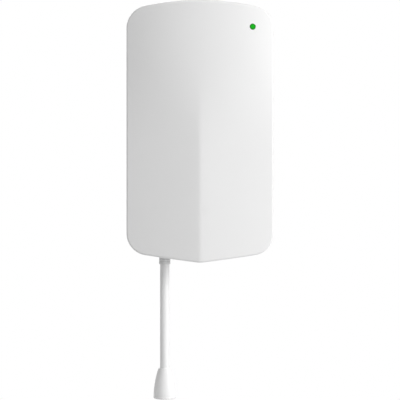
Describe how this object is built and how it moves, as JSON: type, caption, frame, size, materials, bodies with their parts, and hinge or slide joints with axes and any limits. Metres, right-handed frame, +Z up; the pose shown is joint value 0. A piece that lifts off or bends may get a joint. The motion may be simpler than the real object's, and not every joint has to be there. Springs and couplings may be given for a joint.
{
  "type": "water leak sensor",
  "caption": "White wall-hung water leak sensor: rounded case with a folded front, a small green indicator and a probe on a short straight cable.",
  "frame": {"origin": "on the back of the wall plate, where it lies on the wall, level with the middle of the case", "axes": "+Z up along the case, +Y into the wall, so the front faces -Y and +X is to the right"},
  "size_m": [0.053, 0.022, 0.1436],
  "materials": {
    "case_plastic": "moulded ABS, fine satin grain",
    "probe_plastic": "moulded ABS, satin",
    "cable_jacket": "extruded soft PVC, satin",
    "bush_rubber": "moulded soft elastomer, matt",
    "indicator_pipe": "clear green acrylic, polished end",
    "board_laminate": "glass-fibre laminate with solder mask",
    "tinned_steel": "tinned pressed sheet",
    "indicator_body": "moulded lamp body",
    "switch_body": "moulded black nylon",
    "switch_stem": "moulded dark grey nylon",
    "button_plastic": "moulded grey ABS",
    "connector_nylon": "moulded natural nylon",
    "lead_insulation": "extruded PVC",
    "zinc_screws": "bright zinc plate",
    "nickel_contacts": "nickel-plated spring steel",
    "cell_sleeve": "plain printed sleeve over a can",
    "probe_filler": "moulded nylon",
    "gold_pins": "gold-flashed brass"
  },
  "bodies": {
    "wall": {"wall_plate": "case_plastic"},
    "case": {"rear_cover": "case_plastic", "front_cover": "case_plastic", "case_screws": "zinc_screws", "light_pipe": "indicator_pipe", "main_board": "board_laminate", "radio_module": "tinned_steel", "status_led": "indicator_body", "pair_switch": "switch_body", "board_header": "connector_nylon", "lead_plug": "connector_nylon", "sensor_leads": "lead_insulation", "board_screws": "zinc_screws", "positive_contact": "nickel_contacts", "negative_contact": "nickel_contacts", "link_contact": "nickel_contacts", "negative_spring": "nickel_contacts", "link_spring": "nickel_contacts", "cell_left": "cell_sleeve", "cell_right": "cell_sleeve", "cable_gland": "bush_rubber", "cable": "cable_jacket", "probe_head": "probe_plastic", "probe_carrier": "probe_filler", "probe_pins": "gold_pins"},
    "button": {"pair_button": "button_plastic", "switch_plunger": "switch_stem"}
  },
  "joints": [
    {"name": "case_slide", "type": "slide", "parent": "wall", "child": "case", "axis": [0, 0, 1], "range_m": [0, 0.0065]},
    {"name": "button_press", "type": "slide", "parent": "case", "child": "button", "axis": [0, -1, 0], "range_m": [0, 0.0004], "stiffness_N_per_m": 1500}
  ]
}
